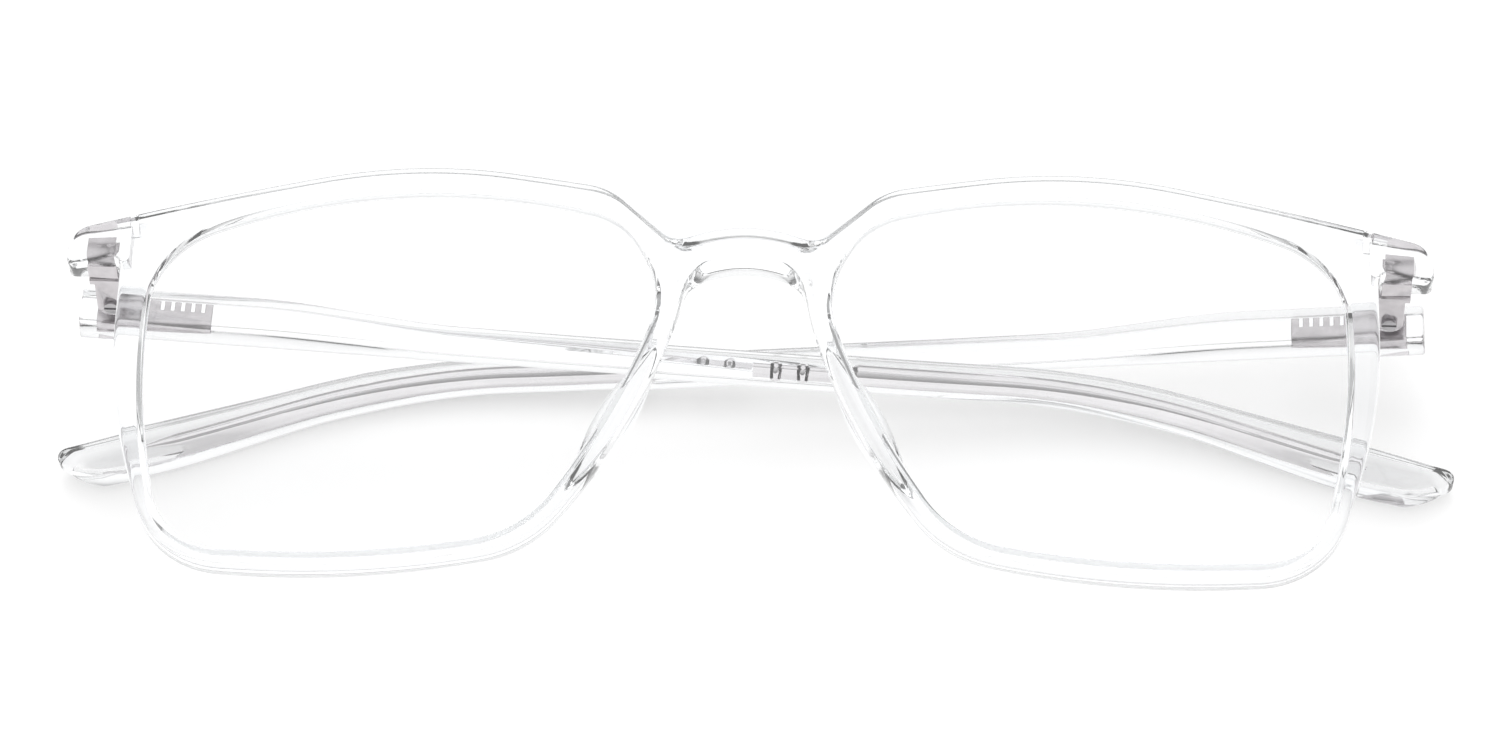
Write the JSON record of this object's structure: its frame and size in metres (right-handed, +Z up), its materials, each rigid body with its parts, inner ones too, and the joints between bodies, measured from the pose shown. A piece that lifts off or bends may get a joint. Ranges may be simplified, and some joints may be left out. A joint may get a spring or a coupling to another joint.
{
  "type": "square eyeglasses",
  "caption": "Square eyeglasses in clear plastic: bowed front with moulded nose pads, bevelled lenses, barrel hinges and folding temples with steel core wires.",
  "frame": {"origin": "middle of the plan at table height, under the glasses as they lie folded with the front facing up", "axes": "+X across the front towards the picture's right, +Y from the lower rims towards the brow, +Z up from the table, out of the front"},
  "size_m": [0.1464, 0.047, 0.0323],
  "materials": {
    "clear_plastic": "polished, transparent",
    "lens_plastic": "polished, transparent",
    "hinge_metal": "satin, bright plated",
    "screw_steel": "satin",
    "core_steel": "drawn wire, bright"
  },
  "bodies": {
    "front": {"front_frame": "clear_plastic", "left_lens": "lens_plastic", "left_front_hinge": "hinge_metal", "left_hinge_screw": "screw_steel", "right_lens": "lens_plastic", "right_front_hinge": "hinge_metal", "right_hinge_screw": "screw_steel"},
    "left_temple": {"left_temple_hinge": "hinge_metal", "left_temple_arm": "clear_plastic", "left_core_wire": "core_steel"},
    "right_temple": {"right_temple_hinge": "hinge_metal", "right_temple_arm": "clear_plastic", "right_core_wire": "core_steel"}
  },
  "joints": [
    {"name": "right_temple_fold", "type": "hinge", "parent": "front", "child": "right_temple", "pos_m": [0.0663, 0.01852, 0.01032], "axis": [-0.0156, -0.9988, -0.0457], "range_deg": [0, 82.8]},
    {"name": "left_temple_fold", "type": "hinge", "parent": "front", "child": "left_temple", "pos_m": [-0.06499, 0.01695, 0.01913], "axis": [0.0177, 0.9995, 0.0246], "range_deg": [0, 86.6]}
  ],
  "couplings": [
    {"joint": "left_temple_fold", "follows": "right_temple_fold", "ratio": 1.0459}
  ]
}
